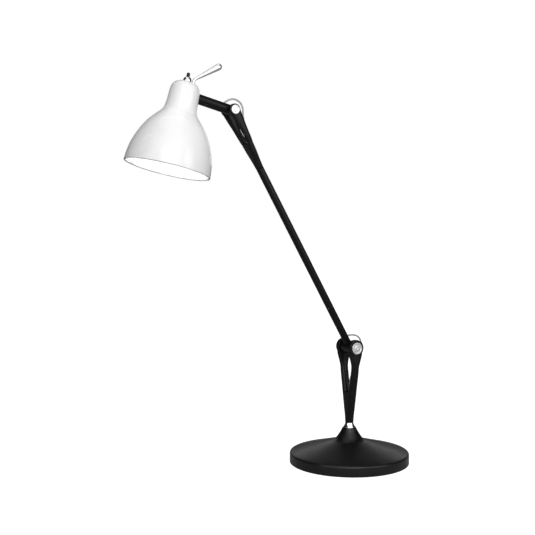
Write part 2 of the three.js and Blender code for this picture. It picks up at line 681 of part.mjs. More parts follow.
function buildHead(shortArm) {
  const group = frameGroup(shortArm, [-SHADE_AXIS_AT, 0, 0], 0);
  add(group, 'shade', shadeGlass(), OPAL_GLASS);
  add(group, 'inner_cup', innerCup(), STEEL);
  add(group, 'lampholder', lampholder(), CREAM_PLASTIC);
  const ring = rod(24.6, s(124.6), s(126.7), 28, 20.8);
  add(group, 'holder_ring', ring, STEEL);
  add(group, 'bulb_cap', rod(13.2, s(95), s(121), 24), BRASS);
  add(group, 'bulb_globe', bulbGlobe(), BULB_GLASS);
  add(group, 'switch_body', switchBody(), BLACK_PLASTIC);
  add(group, 'switch_nut', switchNut(), CHROME);
  add(group, 'aiming_handle', aimingHandle(), CHROME);
  const handleNut = hexNut(3.3, s(150.3), s(152.4), HANDLE_STEM_R + GAP);
  add(group, 'handle_nut', handleNut, STEEL, [HANDLE_AT, 0, 0]);
  const lever = frameGroup(group, [0, 0, s(SWITCH_PIVOT_S)], LEVER_REST_TILT);
  const stem = [[0, -4], [2.4, -2], [2.4, 1.5], [1.6, 4], [1.6, 15], [0, 15]];
  add(lever, 'lever_rod', turned(stem, 12), STEEL);
  const tip = [[1.9, 9], [3, 9], [3.1, 14.6], [2.4, 16.3], [0, 16.8], [0, 15.4], [1.9, 15.4],
    [1.9, 9]];
  add(lever, 'lever_tip', turned(tip, 16), BLACK_PLASTIC);
}

// ---- Flex over the elbows --------------------------------------------------------------

function addLoop(lamp, name, route, centre) {
  const points = routeInFrame(route, 0, centre);
  add(lamp, name, swept(points, CABLE_R, 8, 26), CABLE_SKIN);
}

const lamp = new THREE.Group();
buildBase(lamp);
const lowerArm = buildLowerArm(lamp);
const upper = buildMainArm(lowerArm);
const shortArm = buildShortArm(upper);
buildHead(shortArm);

const lean = THREE.MathUtils.degToRad(MAIN_ARM_LEAN);
const upperElbow = [-MAIN_ARM_LENGTH * Math.sin(lean), LOWER_ELBOW_Z + MAIN_ARM_LENGTH * Math.cos(lean)];
addLoop(lamp, 'cable_loop_lower', LOWER_LOOP, [0, LOWER_ELBOW_Z]);
addLoop(lamp, 'cable_loop_upper', UPPER_LOOP, upperElbow);

export default lamp;
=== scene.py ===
"""Looks of the architect desk lamp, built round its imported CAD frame. Metres, +Z up."""

import json
import math

import bmesh
import bpy
from mathutils import Matrix, Vector


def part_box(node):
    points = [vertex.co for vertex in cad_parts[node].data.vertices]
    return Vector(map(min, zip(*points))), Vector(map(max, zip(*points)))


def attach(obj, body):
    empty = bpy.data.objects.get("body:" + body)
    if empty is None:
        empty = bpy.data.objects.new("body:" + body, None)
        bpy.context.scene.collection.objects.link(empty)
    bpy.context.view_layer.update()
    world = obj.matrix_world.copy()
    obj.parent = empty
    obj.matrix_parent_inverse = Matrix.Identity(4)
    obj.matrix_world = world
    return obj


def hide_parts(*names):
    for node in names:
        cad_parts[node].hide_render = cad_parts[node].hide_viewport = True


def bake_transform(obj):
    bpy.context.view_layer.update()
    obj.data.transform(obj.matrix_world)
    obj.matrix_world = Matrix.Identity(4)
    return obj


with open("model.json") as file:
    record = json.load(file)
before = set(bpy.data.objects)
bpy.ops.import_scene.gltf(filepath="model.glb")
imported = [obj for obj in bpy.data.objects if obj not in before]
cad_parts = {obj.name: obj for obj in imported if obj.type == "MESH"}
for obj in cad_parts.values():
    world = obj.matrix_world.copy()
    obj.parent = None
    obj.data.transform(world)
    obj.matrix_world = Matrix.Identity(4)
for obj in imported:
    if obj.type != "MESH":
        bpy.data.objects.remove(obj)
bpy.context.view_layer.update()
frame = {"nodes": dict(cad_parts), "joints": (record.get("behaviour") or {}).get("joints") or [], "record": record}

MM = 0.001
UP = Vector((0, 0, 1))
SIDE = Vector((0, 1, 0))

# ---- Places taken from the frame --------------------------------------------------------

JOINTS = {joint["name"]: joint for joint in frame["joints"]}
LOWER_ELBOW = Vector(JOINTS["lower_elbow"]["pos_m"])
UPPER_ELBOW = Vector(JOINTS["upper_elbow"]["pos_m"])
SHADE_CROSSING = Vector(JOINTS["head_swivel"]["pos_m"])
MAIN_ARM = (UPPER_ELBOW - LOWER_ELBOW).normalized()
TOWARD_ELBOW = -Vector(JOINTS["head_swivel"]["axis"]).normalized()
SHADE_UP = TOWARD_ELBOW.cross(SIDE).normalized()
SWITCH_PIVOT = Vector(JOINTS["switch_toggle"]["pos_m"])
ARM_ABOVE_RIM = 139.8  # millimetres from the shade's rim to the short arm's axis


def axes_at(origin, along_x, along_z):
    """Matrix of a local frame whose Y is the frame's own Y."""
    columns = (along_x, SIDE, along_z)
    rotation = Matrix([[column[row] for column in columns] for row in range(3)]).to_4x4()
    return Matrix.Translation(origin) @ rotation


AT_LOWER = axes_at(LOWER_ELBOW, Vector((1, 0, 0)), UP)
AT_MAIN = axes_at(LOWER_ELBOW, SIDE.cross(MAIN_ARM), MAIN_ARM)
AT_UPPER = axes_at(UPPER_ELBOW, SIDE.cross(MAIN_ARM), MAIN_ARM)
AT_SHORT = axes_at(UPPER_ELBOW, TOWARD_ELBOW, SHADE_UP)
AT_HEAD = axes_at(SHADE_CROSSING, TOWARD_ELBOW, SHADE_UP)
AT_BASE = Matrix.Identity(4)
LEVER_TILT = math.radians(-3)
AT_LEVER = axes_at(SWITCH_PIVOT, TOWARD_ELBOW, SHADE_UP) @ Matrix.Rotation(LEVER_TILT, 4, "Y")
ONTO_Y = Matrix.Rotation(math.radians(-90), 4, "X")  # local Z to +Y
ONTO_NEAR_Y = Matrix.Rotation(math.radians(90), 4, "X")  # local Z to -Y
ONTO_X = Matrix.Rotation(math.radians(90), 4, "Y")  # local Z to +X


# ---- Outlines ---------------------------------------------------------------------------


def spline(points, per_span=6):
    """Centripetal Catmull-Rom curve through points of any dimension."""
    rows = [Vector(p) for p in points]
    rows = [rows[0] * 2 - rows[1], *rows, rows[-1] * 2 - rows[-2]]
    curve = []
    for p0, p1, p2, p3 in zip(rows, rows[1:], rows[2:], rows[3:]):
        knots = [0.0]
        for a, b in ((p0, p1), (p1, p2), (p2, p3)):
            knots.append(knots[-1] + max((b - a).length, 1e-9) ** 0.5)
        t0, t1, t2, t3 = knots
        for step in range(per_span):
            t = t1 + (t2 - t1) * step / per_span
            a1 = p0 * ((t1 - t) / (t1 - t0)) + p1 * ((t - t0) / (t1 - t0))
            a2 = p1 * ((t2 - t) / (t2 - t1)) + p2 * ((t - t1) / (t2 - t1))
            a3 = p2 * ((t3 - t) / (t3 - t2)) + p3 * ((t - t2) / (t3 - t2))
            b1 = a1 * ((t2 - t) / (t2 - t0)) + a2 * ((t - t0) / (t2 - t0))
            b2 = a2 * ((t3 - t) / (t3 - t1)) + a3 * ((t - t1) / (t3 - t1))
            curve.append(b1 * ((t2 - t) / (t2 - t1)) + b2 * ((t - t1) / (t2 - t1)))
    curve.append(rows[-2])
    return [tuple(p) for p in curve]


def eased(corners, steps=4, closed=True):
    """Outline with rounded corners. A corner is (radius, height) or (radius, height, ease)."""
    outline = []
    count = len(corners)
    for i, corner in enumerate(corners):
        here = Vector(corner[:2])
        ease = corner[2] if len(corner) > 2 else 0
        at_end = not closed and i in (0, count - 1)
        if ease <= 0 or at_end:
            outline.append(tuple(here))
            continue
        before = Vector(corners[i - 1][:2]) - here
        after = Vector(corners[(i + 1) % count][:2]) - here
        start = here + before.normalized() * min(ease, before.length * 0.49)
        end = here + after.normalized() * min(ease, after.length * 0.49)
        for step in range(steps + 1):
            t = step / steps
            point = start * (1 - t) ** 2 + here * (2 * t * (1 - t)) + end * t**2
            outline.append(tuple(point))
    return outline


# ---- Mesh building ----------------------------------------------------------------------

CREASE = 40  # degrees between faces, past which an edge stays sharp
CAST_CREASE = 60
CAST_VOXEL = 0.55
CAST_SMOOTHING = 5
CAST_SIDES = 56


def object_from(bm, name):
    """Scene object of a finished bmesh, with smooth faces and creases where it turns sharply."""
    bmesh.ops.remove_doubles(bm, verts=bm.verts, dist=1e-7)
    bmesh.ops.recalc_face_normals(bm, faces=bm.faces)
    mesh = bpy.data.meshes.new(name)
    bm.to_mesh(mesh)
    bm.free()
    mesh.polygons.foreach_set("use_smooth", [True] * len(mesh.polygons))
    mesh.set_sharp_from_angle(angle=math.radians(CREASE))
    made = bpy.data.objects.new(name, mesh)
    bpy.context.scene.collection.objects.link(made)
    return made


def bridge(bm, rings):
    """Faces between neighbouring rings of vertices; a ring of one vertex is a pole."""
    for lower, upper in zip(rings, rings[1:]):
        count = max(len(lower), len(upper))
        if count == 1:
            continue
        for i in range(count):
            j = (i + 1) % count
            quad = []
            for ring, order in ((lower, (i, j)), (upper, (j, i))):
                quad += [ring[k % len(ring)] for k in (order if len(ring) > 1 else (0,))]
            bm.faces.new(quad)


def turned(name, outline, segments=96, place=AT_BASE):
    """Solid of revolution about local Z from an outline of (radius, height) in millimetres.

    An outline that starts and ends on the axis closes there; any other is a closed ring.
    """
    bm = bmesh.new()
    rings = []
    for radius, height in outline:
        if radius < 1e-6:
            rings.append([bm.verts.new((0, 0, height * MM))])
            continue
        ring = []
        for i in range(segments):
            angle = 2 * math.pi * i / segments
            point = (radius * MM * math.cos(angle), radius * MM * math.sin(angle), height * MM)
            ring.append(bm.verts.new(point))
        rings.append(ring)
    if len(rings[0]) > 1 or len(rings[-1]) > 1:
        rings.append(rings[0])
    bridge(bm, rings)
    bm.transform(place)
    return object_from(bm, name)


def rod(name, radius, start, end, segments=48, place=AT_BASE):
    """Plain cylinder about local Z."""
    outline = [(0, start), (radius, start), (radius, end), (0, end)]
    return turned(name, outline, segments, place)


def ring_about(centre, tangent, radius, sides):
    """Points of a circle square to tangent, the first of them on the Y side."""
    up = tangent.cross(SIDE).normalized()
    points = []
    for i in range(sides):
        angle = 2 * math.pi * i / sides
        points.append(centre + SIDE * (radius * math.cos(angle)) + up * (radius * math.sin(angle)))
    return points


def skin(name, rings, place=AT_BASE):
    """Closed skin over rings of points in millimetres, with fans over both ends."""
    bm = bmesh.new()
    made = [[bm.verts.new(Vector(p) * MM) for p in ring] for ring in rings]
    bridge(bm, made)
    for ring in (made[0], made[-1]):
        centre = bm.verts.new(sum((v.co for v in ring), Vector()) / len(ring))
        bridge(bm, [[centre], ring])
    bm.transform(place)
    return object_from(bm, name)


def flex(name, route, radius, sides=28, place=AT_BASE):
    """Round tube along route, points (x, z) in millimetres in the arms' plane."""
    line = [Vector((x, 0, z)) for x, z in spline(route, 10)]
    rings = []
    for i, point in enumerate(line):
        tangent = line[min(i + 1, len(line) - 1)] - line[max(i - 1, 0)]
        rings.append(ring_about(point, tangent.normalized(), radius, sides))
    return skin(name, rings, place)


def merged(name, pieces):
    """One object that holds the closed shells of several."""
    bm = bmesh.new()
    for piece in pieces:
        bm.from_mesh(piece.data)
        drop(piece)
    return object_from(bm, name)


def drop(piece):
    mesh = piece.data
    bpy.data.objects.remove(piece)
    bpy.data.meshes.remove(mesh)


def bake_modifiers(piece, crease=CREASE):
    """Applies every modifier on piece."""
    bpy.context.view_layer.update()
    graph = bpy.context.evaluated_depsgraph_get()
    mesh = bpy.data.meshes.new_from_object(piece.evaluated_get(graph))
    old = piece.data
    piece.modifiers.clear()
    piece.data = mesh
    bpy.data.meshes.remove(old)
    mesh.polygons.foreach_set("use_smooth", [True] * len(mesh.polygons))
    mesh.set_sharp_from_angle(angle=math.radians(crease))
    return piece


def carved(piece, *tools):
    """Cuts the tools out of piece and removes them."""
    for tool in tools:
        step = piece.modifiers.new("cut", "BOOLEAN")
        step.operation = "DIFFERENCE"
        step.solver = "EXACT"
        step.object = tool
        bake_modifiers(piece)
        drop(tool)
    return piece


def cast_together(piece):
    """Fuses a piece's overlapping shells into one skin with softened inner corners."""
    remesh = piece.modifiers.new("fuse", "REMESH")
    remesh.mode = "VOXEL"
    remesh.voxel_size = CAST_VOXEL * MM
    remesh.adaptivity = 0.0
    soften = piece.modifiers.new("soften", "SMOOTH")
    soften.factor = 0.5
    soften.iterations = CAST_SMOOTHING
    return bake_modifiers(piece, CAST_CREASE)


# ---- Materials --------------------------------------------------------------------------

MIDDLE_RANGE = (0.3, 0.7)  # the part of a noise's 0..1 that most of its values lie in
PAINTED_RIM_SHADE = (0.5, 1.5)  # heights over the rim over which the painted shade along its edge fades out


class Finish:
    """A procedural finish: one shader, with noise on its colour, roughness and surface."""

    def __init__(self, name):
        self.material = bpy.data.materials.new(name)
        self.material.use_nodes = True
        self.nodes = self.material.node_tree.nodes
        self.links = self.material.node_tree.links
        self.shader = self.nodes["Principled BSDF"]
        self.place = self.nodes.new("ShaderNodeTexCoord")

    def set(self, **values):
        for label, value in values.items():
            self.shader.inputs[label.replace("_", " ")].default_value = value
        return self

    def noise(self, scale, detail=3.0, roughness=0.5, stretch=None):
        node = self.nodes.new("ShaderNodeTexNoise")
        node.inputs["Scale"].default_value = scale
        node.inputs["Detail"].default_value = detail
        node.inputs["Roughness"].default_value = roughness
        source = self.place.outputs["Object"]
        if stretch:
            mapping = self.nodes.new("ShaderNodeMapping")
            mapping.inputs["Scale"].default_value = stretch
            self.links.new(source, mapping.inputs["Vector"])
            source = mapping.outputs["Vector"]
        self.links.new(source, node.inputs["Vector"])
        return node.outputs["Fac"]

    def turned_rings(self, centre, scale):
        """Fine rings about the Y axis through centre, as a lathe leaves them."""
        mapping = self.nodes.new("ShaderNodeMapping")
        mapping.inputs["Location"].default_value = -centre
        wave = self.nodes.new("ShaderNodeTexWave")
        wave.wave_type = "RINGS"
        wave.rings_direction = "Y"
        wave.inputs["Scale"].default_value = scale
        wave.inputs["Distortion"].default_value = 0.6
        wave.inputs["Detail"].default_value = 2.0
        self.links.new(self.place.outputs["Object"], mapping.inputs["Vector"])
        self.links.new(mapping.outputs["Vector"], wave.inputs["Vector"])
        return wave.outputs["Fac"]

    def colour(self, source, dark, light, mask=None, masked=None):
        """Base colour from dark to light by source, and masked where mask is 1."""
        ramp = self.nodes.new("ShaderNodeValToRGB")
        stops = ramp.color_ramp.elements
        for stop, position, tint in zip(stops, MIDDLE_RANGE, (dark, light)):
            stop.position = position
            stop.color = (*tint, 1)
        self.links.new(source, ramp.inputs["Fac"])
        result = ramp.outputs["Color"]
        if mask:
            mix = self.nodes.new("ShaderNodeMix")
            mix.data_type = "RGBA"
            mix.inputs["B"].default_value = (*masked, 1)
            self.links.new(mask, mix.inputs["Factor"])
            self.links.new(result, mix.inputs["A"])
            result = mix.outputs["Result"]
        self.links.new(result, self.shader.inputs["Base Color"])

    def between(self, source, start, end, low=0.0, high=1.0, smooth=False):
        """Low where source is at start, high where it is at end, and a ramp in between."""
        node = self.nodes.new("ShaderNodeMapRange")
        node.interpolation_type = "SMOOTHSTEP" if smooth else "LINEAR"
        node.inputs["From Min"].default_value = start
        node.inputs["From Max"].default_value = end
        node.inputs["To Min"].default_value = low
        node.inputs["To Max"].default_value = high
        self.links.new(source, node.inputs["Value"])
        return node.outputs["Result"]

    def rough(self, source, low, high):
        """Roughness from low to high over source's middle range."""
        level = self.between(source, *MIDDLE_RANGE, low, high)
        self.links.new(level, self.shader.inputs["Roughness"])

    def bump(self, source, strength, depth):
        node = self.nodes.new("ShaderNodeBump")
        node.inputs["Strength"].default_value = strength
        node.inputs["Distance"].default_value = depth
        self.links.new(source, node.inputs["Height"])
        self.links.new(node.outputs["Normal"], self.shader.inputs["Normal"])


def satin_black():
    """Powder coat: near black, with a fine orange-peel surface."""
    f = Finish("satin_black").set(Specular_IOR_Level=0.22)
    f.colour(f.noise(18, 4), (0.0026, 0.0026, 0.0026), (0.0042, 0.0041, 0.0040))
    f.rough(f.noise(60, 4), 0.31, 0.39)
    f.bump(f.noise(1400, 2), 0.10, 0.00012)
    return f.material


def base_paint():
    """The same black on spun steel: smoother, so that it mirrors the stem faintly."""
    f = Finish("base_paint").set(Specular_IOR_Level=0.35)
    f.colour(f.noise(18, 4), (0.0036, 0.0036, 0.0036), (0.0056, 0.0055, 0.0054))
    f.rough(f.noise(60, 4), 0.30, 0.36)
    f.bump(f.noise(1400, 2), 0.05, 0.00012)
    return f.material


def polished_chrome():
    f = Finish("polished_chrome").set(Metallic=1.0)
    f.colour(f.noise(30, 2), (0.80, 0.80, 0.81), (0.88, 0.88, 0.88))
    f.rough(f.noise(160, 4), 0.035, 0.085)
    f.bump(f.noise(300, 2), 0.02, 0.00005)
    return f.material


def turned_cap(name, centre):
    f = Finish(name).set(Metallic=1.0)
    f.colour(f.noise(90, 3), (0.74, 0.74, 0.74), (0.80, 0.80, 0.80))
    f.rough(f.noise(400, 4), 0.34, 0.40)
    f.bump(f.turned_rings(centre, 450), 0.03, 0.00003)
    return f.material


def plain_steel():
    f = Finish("plain_steel").set(Metallic=1.0)
    f.colour(f.noise(120, 4), (0.42, 0.42, 0.43), (0.58, 0.58, 0.58))
    f.rough(f.noise(500, 4), 0.28, 0.45)
    f.bump(f.noise(900, 3, stretch=(1, 1, 0.1)), 0.08, 0.00006)
    return f.material


def brass():
    f = Finish("brass").set(Metallic=1.0)
    f.colour(f.noise(70, 4), (0.50, 0.36, 0.15), (0.66, 0.50, 0.25))
    f.rough(f.noise(300, 4), 0.22, 0.40)
    f.bump(f.noise(700, 3), 0.06, 0.00006)
    return f.material


def cast_iron():
    f = Finish("cast_iron").set(Metallic=0.7)
    f.colour(f.noise(60, 6), (0.035, 0.033, 0.032), (0.085, 0.08, 0.077))
    f.rough(f.noise(200, 5), 0.6, 0.85)
    f.bump(f.noise(450, 5, 0.65), 0.5, 0.0005)
    return f.material


def black_rubber():
    f = Finish("black_rubber")
    f.colour(f.noise(80, 4), (0.012, 0.012, 0.012), (0.025, 0.025, 0.024))
    f.rough(f.noise(200, 4), 0.7, 0.9)
    f.bump(f.noise(1800, 3), 0.25, 0.0002)
    return f.material


def clear_flex():
    """Pale core in a clear sheath, with painted shade that darkens its colour toward the edges as seen."""
    f = Finish("clear_flex").set(Coat_Weight=0.3, Coat_Roughness=0.1, IOR=1.5)
    rim = f.nodes.new("ShaderNodeLayerWeight")
    rim.inputs["Blend"].default_value = 0.5
    # Painted shade: the colour turns near black toward the flex's outline as seen, standing in for the dark line
    # along its edges.
    depth = f.between(rim.outputs["Facing"], 0.1, 0.42, smooth=True)
    f.colour(f.noise(90, 3), (0.50, 0.50, 0.49), (0.58, 0.58, 0.57), depth, (0.02, 0.02, 0.021))
    f.rough(f.noise(250, 3), 0.10, 0.18)
    f.bump(f.noise(500, 3), 0.05, 0.0002)
    return f.material


def opal_glass():
    """White glass, with painted shade: a grey band along the edge of its rim."""
    f = Finish("opal_glass").set(Coat_Weight=0.25, Coat_Roughness=0.08, IOR=1.5)
    along = f.nodes.new("ShaderNodeVectorMath")
    along.operation = "DOT_PRODUCT"
    along.inputs[1].default_value = SHADE_UP
    f.links.new(f.place.outputs["Object"], along.inputs[0])
    # Painted shade: the glass turns grey within a millimetre or so of the rim, for the dark line along its edge.
    rim_at = SHADE_CROSSING.dot(SHADE_UP) - ARM_ABOVE_RIM * MM
    rim_shade_to, clear_from = (rim_at + height * MM for height in PAINTED_RIM_SHADE)
    painted_rim_shade = f.between(along.outputs["Value"], clear_from, rim_shade_to)
    f.colour(f.noise(9, 2), (0.86, 0.86, 0.86), (0.90, 0.90, 0.895), painted_rim_shade, (0.30, 0.30, 0.295))
    f.rough(f.noise(14, 3), 0.22, 0.28)
    f.bump(f.noise(26, 1), 0.03, 0.0006)
    return f.material


def frosted_bulb():
    f = Finish("frosted_bulb").set(Emission_Strength=9.5, Emission_Color=(1, 0.985, 0.96, 1))
    f.colour(f.noise(40, 2), (0.86, 0.84, 0.78), (0.93, 0.91, 0.86))
    f.rough(f.noise(120, 3), 0.25, 0.4)
    f.bump(f.noise(900, 2), 0.05, 0.0001)
    return f.material


def black_plastic():
    f = Finish("black_plastic").set(Specular_IOR_Level=0.25)
    f.colour(f.noise(70, 3), (0.003, 0.003, 0.003), (0.006, 0.006, 0.006))
    f.rough(f.noise(200, 3), 0.35, 0.45)
    f.bump(f.noise(1500, 2), 0.06, 0.0001)
    return f.material


def cream_plastic():
    f = Finish("cream_plastic")
    f.colour(f.noise(60, 3), (0.70, 0.68, 0.62), (0.78, 0.76, 0.70))
    f.rough(f.noise(150, 3), 0.28, 0.42)
    f.bump(f.noise(1200, 2), 0.06, 0.0001)
    return f.material


FINISHES = {
    make.__name__: make()
    for make in (
        satin_black, polished_chrome, plain_steel, brass, cast_iron, black_rubber,
        clear_flex, opal_glass, frosted_bulb, black_plastic, cream_plastic,
    )
}
FINISHES["cap_metal"] = turned_cap("cap_metal", LOWER_ELBOW)
UPPER_CAP_FINISH = turned_cap("cap_metal_upper", UPPER_ELBOW)
BASE_FINISH = base_paint()
SLOT_OF_NODE = {part["node"]: part["material_slot"] for part in frame["record"]["subparts"]}


def paint_cad_nodes():
    for name, node in frame["nodes"].items():
        node.data.materials.clear()
        node.data.materials.append(FINISHES[SLOT_OF_NODE[name]])


def dress(piece, body, node, material=None):
    """Gives a finished piece its material and its body, if just one, and hides its CAD node."""
    slot = SLOT_OF_NODE[node]
    piece.data.materials.clear()
    piece.data.materials.append(material or FINISHES[slot])
    if body:
        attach(piece, body)
    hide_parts(node)


# ---- Base -------------------------------------------------------------------------------

BASE_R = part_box("base_cover")[1].x / MM
RIM_TOP = 20.9
NECK_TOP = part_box("base_cover")[1].z / MM
NECK_R = 13.4
CABLE_INLET_HOLE_R = 4.9


def base_cover():
    """Spun cover: a low rounded rim, a shallow cone and a neck that flares into it."""
    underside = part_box("base_cover")[0].z / MM
    bore_r = 7.7
    wall = 3
    shoulder = [(BASE_R, underside + 0.2, 0.6), (BASE_R, RIM_TOP, 3.4)]
    cone = [(76, 32.9, 20), (28.6, 46.3, 7), (17.8, 61.9, 9), (NECK_R, NECK_TOP, 0.4)]
    inside = [
        (bore_r, NECK_TOP, 0.4), (bore_r, 45.6), (17, 45.6), (30, 41.4), (76, 29.3),
        (BASE_R - wall, RIM_TOP - wall, 2), (BASE_R - wall, underside + 0.2, 0.6),
    ]
    cover = turned("base_cover_fine", eased(shoulder + cone + inside, 7), 192)
    inlet_low, inlet_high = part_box("cable_inlet")
    inlet_at = Vector((BASE_R * MM, 0, (inlet_low.z + inlet_high.z) / 2))
    hole = rod("hole", CABLE_INLET_HOLE_R, -8, 8, 48, Matrix.Translation(inlet_at) @ ONTO_X)
    dress(carved(cover, hole), "base", "base_cover", material=BASE_FINISH)


def foot_pad():
    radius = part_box("foot_pad")[1].x / MM
    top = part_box("foot_pad")[1].z / MM
    outline = [(0, 0), (radius - 0.6, 0, 0.5), (radius, 0.7, 0.5), (radius, top, 0.4), (0, top)]
    dress(turned("foot_pad_fine", eased(outline, 3, closed=False), 160), "base", "foot_pad")


def neck_collar():
    low, high = (corner.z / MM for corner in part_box("neck_collar"))
    foot_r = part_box("neck_collar")[1].x / MM
    outline = [
        (5.3, low), (foot_r, low, 0.35), (9.55, 75.9, 2.5), (7.8, high, 0.35), (5.3, high),
    ]
    dress(turned("neck_collar_fine", eased(outline, 5), 128), "base", "neck_collar")


def cable_inlet():
    low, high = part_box("cable_inlet")
    outer = high.x / MM
    outline = [
        (3.1, outer - 4.6), (6.4, outer - 4.6, 0.4), (6.4, outer - 3.2, 0.4),
        (4.6, outer - 3.2), (4.6, outer, 0.7), (3.1, outer, 0.5),
    ]
    place = Matrix.Translation(Vector((0, 0, (low.z + high.z) / 2))) @ ONTO_X
    dress(turned("cable_inlet_fine", eased(outline, 4), 64, place), "base", "cable_inlet")


# ---- Forks, elbows and tubes ------------------------------------------------------------

# A fork's stations as (height from the elbow's axis, prong centre, half-thickness along Y,
# half-width along X), in millimetres.
STEM_FOOT = (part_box("lower_fork")[0] - LOWER_ELBOW).z / MM
LOWER_FORK = {
    "crotch": -90,
    "stations": [
        (STEM_FOOT, 0, 8.3, 8.3), (-138, 1.9, 7.7, 8.3), (-125, 4.4, 7.2, 8.3),
        (-100, 8.8, 6.6, 8.3), (-76, 13.3, 6.2, 8.2), (-52, 17.8, 6, 8.1),
        (-38, 19.6, 5.6, 8.4), (-28, 20.5, 5.2, 10.9), (-16, 20.5, 5, 14.7), (-9, 20.5, 5, 15.8),
        (0, 20.5, 5, 16.3),
    ],
    "eye": {"r": 16.5, "inner": 15.5, "outer": 25.5, "cap": 11.7, "face": 27.2, "bolt": 4},
}
UPPER_FOOT = -122
UPPER_FORK = {
    "crotch": -65,
    "stations": [
        (UPPER_FOOT, 0, 7.25, 7.25), (-105, 3.1, 6.6, 6.9), (-88, 7.1, 5.9, 6.6),
        (-71, 11, 4.2, 6.3), (-54, 13.9, 3.7, 6.4), (-38, 15, 3.6, 7.2),
        (-21, 15.4, 3.9, 9), (-9, 15.4, 3.9, 10.2), (0, 15.4, 3.9, 10.7),
    ],
    "eye": {"r": 10.9, "inner": 11.5, "outer": 19.3, "cap": 8.3, "face": 20.9, "bolt": 3},
}
CAP_SEAT = 1.0
CAP_FIT = 0.25
GAP = 0.3
CABLE_BORE_R = 3.4
CUT_PAST = 6
PRONG_OVERLAP = 12  # how far a prong runs down into the stem
PRONG_TAPER = 0.13
LOWER_BARREL_R = 13.5
UPPER_BARREL_R = 9.6
WASHER_ROOM = 1.4
WASHER_THICK = 0.8


def section(at, centre_y, half_y, half_x, square):
    """Rounded section of a casting: an ellipse at square 2, nearer a rectangle above it."""
    points = []
    for i in range(CAST_SIDES):
        angle = 2 * math.pi * i / CAST_SIDES
        c, s = math.cos(angle), math.sin(angle)
        reach = (abs(c) ** square + abs(s) ** square) ** (-1 / square)
        points.append(Vector((half_x * reach * c, centre_y + half_y * reach * s, at)))
    return points


def fork(name, shape, place, body, node):
    """Stem, two prongs and their eyes, fused like a casting, then bored and seated."""
    rows = spline(shape["stations"], 5)
    crotch = shape["crotch"]
    stem = [row for row in rows if row[0] < crotch]
    parts = []
    rings = []
    for at, out, half_y, half_x in stem:
        squareness = 2 + 2.6 * min(out / 10, 1)  # round at the foot, squarer as it widens
        rings.append(section(at, 0, out + half_y, half_x, squareness))
    parts.append(skin(f"{name}_stem", rings))
    eye = shape["eye"]
    for side in (-1, 1):
        prong = []
        for at, out, half_y, half_x in rows:
            if at > crotch - PRONG_OVERLAP:
                inset = PRONG_TAPER * max(crotch - at, 0)
                prong.append(section(at, side * out, half_y - inset, half_x - inset, 2.5))
        parts.append(skin(f"{name}_prong", prong))
        plate = [
            (0, eye["inner"]), (eye["r"], eye["inner"], 0.8), (eye["r"], eye["outer"], 1.4),
            (0, eye["outer"]),
        ]
        turn = ONTO_Y if side > 0 else ONTO_NEAR_Y
        parts.append(turned(f"{name}_eye", eased(plate, 4, closed=False), 96, turn))
    whole = cast_together(merged(name, parts))
    reach = eye["outer"] + CUT_PAST
    tools = [
        rod("bolt_hole", eye["bolt"] + GAP, -reach, reach, 48, ONTO_Y),
        rod("cap_seat", eye["cap"] + CAP_FIT, eye["outer"] - CAP_SEAT, reach, 96, ONTO_Y),
        rod("cap_seat", eye["cap"] + CAP_FIT, eye["outer"] - CAP_SEAT, reach, 96, ONTO_NEAR_Y),
        rod("barrel_room", eye["r"] + 2, -eye["inner"], eye["inner"], 96, ONTO_Y),
        rod("cable_bore", CABLE_BORE_R, crotch - 45, crotch + 20),
    ]
    carved(whole, *tools)
    whole.data.transform(place)
    dress(whole, body, node)


def elbow_caps(prefix, shape, place, body, material):
    """Two turned caps with a raised rim, a sunk field and a socket screw in the middle."""
    eye = shape["eye"]
    radius, face = eye["cap"], eye["face"]
    back = eye["outer"] - CAP_SEAT + GAP
    outline = [
        (0, back), (radius, back, 0.3), (radius, face, 0.7), (radius * 0.80, face, 0.3),
        (radius * 0.77, face - 0.8, 0.3), (radius * 0.50, face - 0.8, 0.3),
        (radius * 0.46, face - 0.25, 0.5), (0, face - 0.1),
    ]
    for side, turn in (("far", ONTO_Y), ("near", ONTO_NEAR_Y)):
        cap = turned(f"{prefix}_cap_{side}_fine", eased(outline, 5, closed=False), 112, turn)
        carved(cap, rod("socket", radius * 0.22, face - 0.9, face + 2, 6, turn))
        cap.data.transform(place)
        dress(cap, body, f"{prefix}_cap_{side}", material=material)


def elbow_inside(prefix, shape, barrel_r, place, body):
    """Bolt and friction washers."""
    eye = shape["eye"]
    reach = eye["outer"] - CAP_SEAT - GAP
    bolt_r = eye["bolt"]
    bolt = [(0, -reach), (bolt_r, -reach, 0.4), (bolt_r, reach, 0.4), (0, reach)]
    made = turned(f"{prefix}_pivot_bolt_fine", eased(bolt, 3, closed=False), 48, place @ ONTO_Y)
    dress(made, body, f"{prefix}_pivot_bolt")
    inner, outer = bolt_r + GAP, barrel_r - 1
    top = eye["inner"] - GAP
    foot = top - WASHER_THICK
    washer = [(inner, foot), (outer, foot, 0.2), (outer, top, 0.2), (inner, top)]
    for side, turn in (("far", ONTO_Y), ("near", ONTO_NEAR_Y)):
        made = turned(f"{prefix}_washer_{side}_fine", eased(washer, 2), 96, place @ turn)
        dress(made, body, f"{prefix}_washer_{side}")


def barrel(name, shape, radius):
    """Round boss between a fork's eyes, bored for the bolt."""
    eye = shape["eye"]
    reach = eye["inner"] - WASHER_ROOM
    bore = eye["bolt"] + GAP
    outline = [(bore, -reach), (radius, -reach, 0.7), (radius, reach, 0.7), (bore, reach)]
    return turned(name, eased(outline, 4), 112, ONTO_Y)


MAIN_TUBE_R = 7.25
MAIN_TUBE_FOOT = 7.4
SHORT_TUBE_R = 9.35
SHORT_TUBE_END = 13  # its gap from the shade's axis
TUBE_WALL = 1.5
FLEX_R = 1.6
FLEX_ROOM = 0.45

